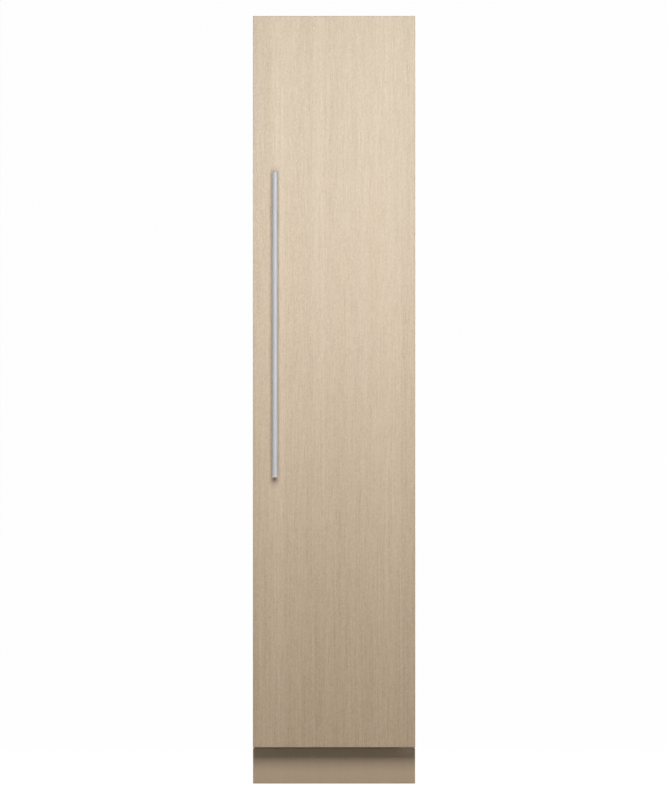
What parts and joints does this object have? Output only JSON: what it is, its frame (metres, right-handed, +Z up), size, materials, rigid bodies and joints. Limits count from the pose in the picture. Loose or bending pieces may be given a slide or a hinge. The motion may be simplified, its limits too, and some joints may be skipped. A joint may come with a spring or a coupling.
{
  "type": "integrated column freezer",
  "caption": "Tall narrow built-in freezer with an oak-faced door hinged on the right, a vertical bar handle, a recessed toe kick, and drawers, shelves and an ice maker inside.",
  "frame": {"origin": "on the floor, at the middle of the whole object's width and depth, handle included", "axes": "+X to the right seen from the front, +Y towards the back, +Z up"},
  "size_m": [0.451, 0.658, 2.134],
  "materials": {
    "oak": "pale oak veneer, satin lacquer",
    "stainless": "brushed stainless steel",
    "white_plastic": "white moulded plastic, satin",
    "clear_plastic": "clear moulded plastic",
    "glass": "clear tempered glass",
    "grey_paint": "grey powder-coated steel",
    "galvanised": "zinc-coated steel",
    "black_plastic": "black moulded plastic",
    "black_paint": "black painted steel",
    "foam": "rigid polyurethane foam",
    "rubber": "grey flexible gasket",
    "aluminium": "bare aluminium",
    "copper": "copper tube",
    "nylon": "dark nylon"
  },
  "bodies": {
    "cabinet": {"toe_kick_panel": "oak", "hinge_bracket_top": "galvanised", "hinge_bracket_bottom": "galvanised", "side_panel_left": "grey_paint", "side_panel_right": "grey_paint", "top_panel": "grey_paint", "back_panel": "galvanised", "bottom_deck": "galvanised", "front_frame": "grey_paint", "inner_liner": "white_plastic", "insulation": "foam", "shelf_ladder_left": "white_plastic", "shelf_ladder_right": "white_plastic", "glass_shelf_1": "glass", "glass_shelf_2": "glass", "glass_shelf_3": "glass", "ice_maker_housing": "white_plastic", "evaporator_cover": "white_plastic", "evaporator": "aluminium", "control_panel": "black_plastic", "light_bar": "clear_plastic", "base_frame": "galvanised", "compressor": "black_paint", "condenser": "aluminium", "refrigerant_tube": "copper", "condenser_shroud": "black_plastic", "drain_pan": "black_plastic", "electronics_box": "grey_paint", "rear_cover": "grey_paint", "power_inlet": "black_plastic", "water_valve": "white_plastic", "anti_tip_bracket": "galvanised"},
    "door": {"door_panel": "oak", "handle_bar": "stainless", "handle_post_bottom": "stainless", "handle_post_top": "stainless", "door_skin": "grey_paint", "door_cap_bottom": "black_plastic", "door_cap_top": "black_plastic", "door_insulation": "foam", "door_liner": "white_plastic", "door_gasket": "rubber"},
    "door_bin_1": {"door_bin_1": "clear_plastic"},
    "door_bin_2": {"door_bin_2": "clear_plastic"},
    "door_bin_3": {"door_bin_3": "clear_plastic"},
    "drawer_1": {"drawer_front_1": "clear_plastic", "drawer_basket_1": "clear_plastic"},
    "drawer_2": {"drawer_front_2": "clear_plastic", "drawer_basket_2": "clear_plastic"},
    "drawer_3": {"drawer_front_3": "clear_plastic", "drawer_basket_3": "clear_plastic"},
    "ice_bin": {"ice_bin": "white_plastic"},
    "ice_tray": {"ice_tray": "nylon"},
    "ice_level_arm": {"ice_level_arm": "stainless"},
    "condenser_fan": {"condenser_fan": "black_plastic"},
    "evaporator_fan": {"evaporator_fan": "black_plastic"},
    "foot_left": {"foot_left": "galvanised"},
    "foot_right": {"foot_right": "galvanised"},
    "roller_left": {"roller_left": "nylon"},
    "roller_right": {"roller_right": "nylon"}
  },
  "joints": [
    {"name": "door_hinge", "type": "hinge", "parent": "cabinet", "child": "door", "pos_m": [0.213, -0.25, 0.102], "axis": [0, 0, 1], "range_deg": [0, 115]},
    {"name": "door_bin_1_lift", "type": "slide", "parent": "door", "child": "door_bin_1", "axis": [0, 0, 1], "range_m": [0, 0.025]},
    {"name": "door_bin_2_lift", "type": "slide", "parent": "door", "child": "door_bin_2", "axis": [0, 0, 1], "range_m": [0, 0.025]},
    {"name": "door_bin_3_lift", "type": "slide", "parent": "door", "child": "door_bin_3", "axis": [0, 0, 1], "range_m": [0, 0.025]},
    {"name": "drawer_1_slide", "type": "slide", "parent": "cabinet", "child": "drawer_1", "axis": [0, -1, 0], "range_m": [0, 0.12]},
    {"name": "drawer_2_slide", "type": "slide", "parent": "cabinet", "child": "drawer_2", "axis": [0, -1, 0], "range_m": [0, 0.12]},
    {"name": "drawer_3_slide", "type": "slide", "parent": "cabinet", "child": "drawer_3", "axis": [0, -1, 0], "range_m": [0, 0.12]},
    {"name": "ice_bin_slide", "type": "slide", "parent": "cabinet", "child": "ice_bin", "axis": [0, -1, 0], "range_m": [0, 0.12]},
    {"name": "ice_tray_twist", "type": "hinge", "parent": "cabinet", "child": "ice_tray", "pos_m": [-0.055, 0.009, 1.885], "axis": [0, -1, 0], "range_deg": [0, 150]},
    {"name": "ice_level_arm_pivot", "type": "hinge", "parent": "cabinet", "child": "ice_level_arm", "pos_m": [0, 0.0043, 1.845], "axis": [0, -1, 0], "range_deg": [0, 70]},
    {"name": "condenser_fan_spin", "type": "hinge", "parent": "cabinet", "child": "condenser_fan", "pos_m": [-0.095, -0.0655, 0.141], "axis": [0, 1, 0], "continuous": true},
    {"name": "evaporator_fan_spin", "type": "hinge", "parent": "cabinet", "child": "evaporator_fan", "pos_m": [0, 0.2093, 0.9], "axis": [0, 1, 0], "continuous": true},
    {"name": "foot_left_screw", "type": "slide", "parent": "cabinet", "child": "foot_left", "axis": [0, 0, 1], "range_m": [-0.02, 0]},
    {"name": "foot_right_screw", "type": "slide", "parent": "cabinet", "child": "foot_right", "axis": [0, 0, 1], "range_m": [-0.02, 0]},
    {"name": "roller_left_spin", "type": "hinge", "parent": "cabinet", "child": "roller_left", "pos_m": [-0.185, 0.279, 0.02], "axis": [1, 0, 0], "continuous": true},
    {"name": "roller_right_spin", "type": "hinge", "parent": "cabinet", "child": "roller_right", "pos_m": [0.185, 0.279, 0.02], "axis": [1, 0, 0], "continuous": true}
  ]
}
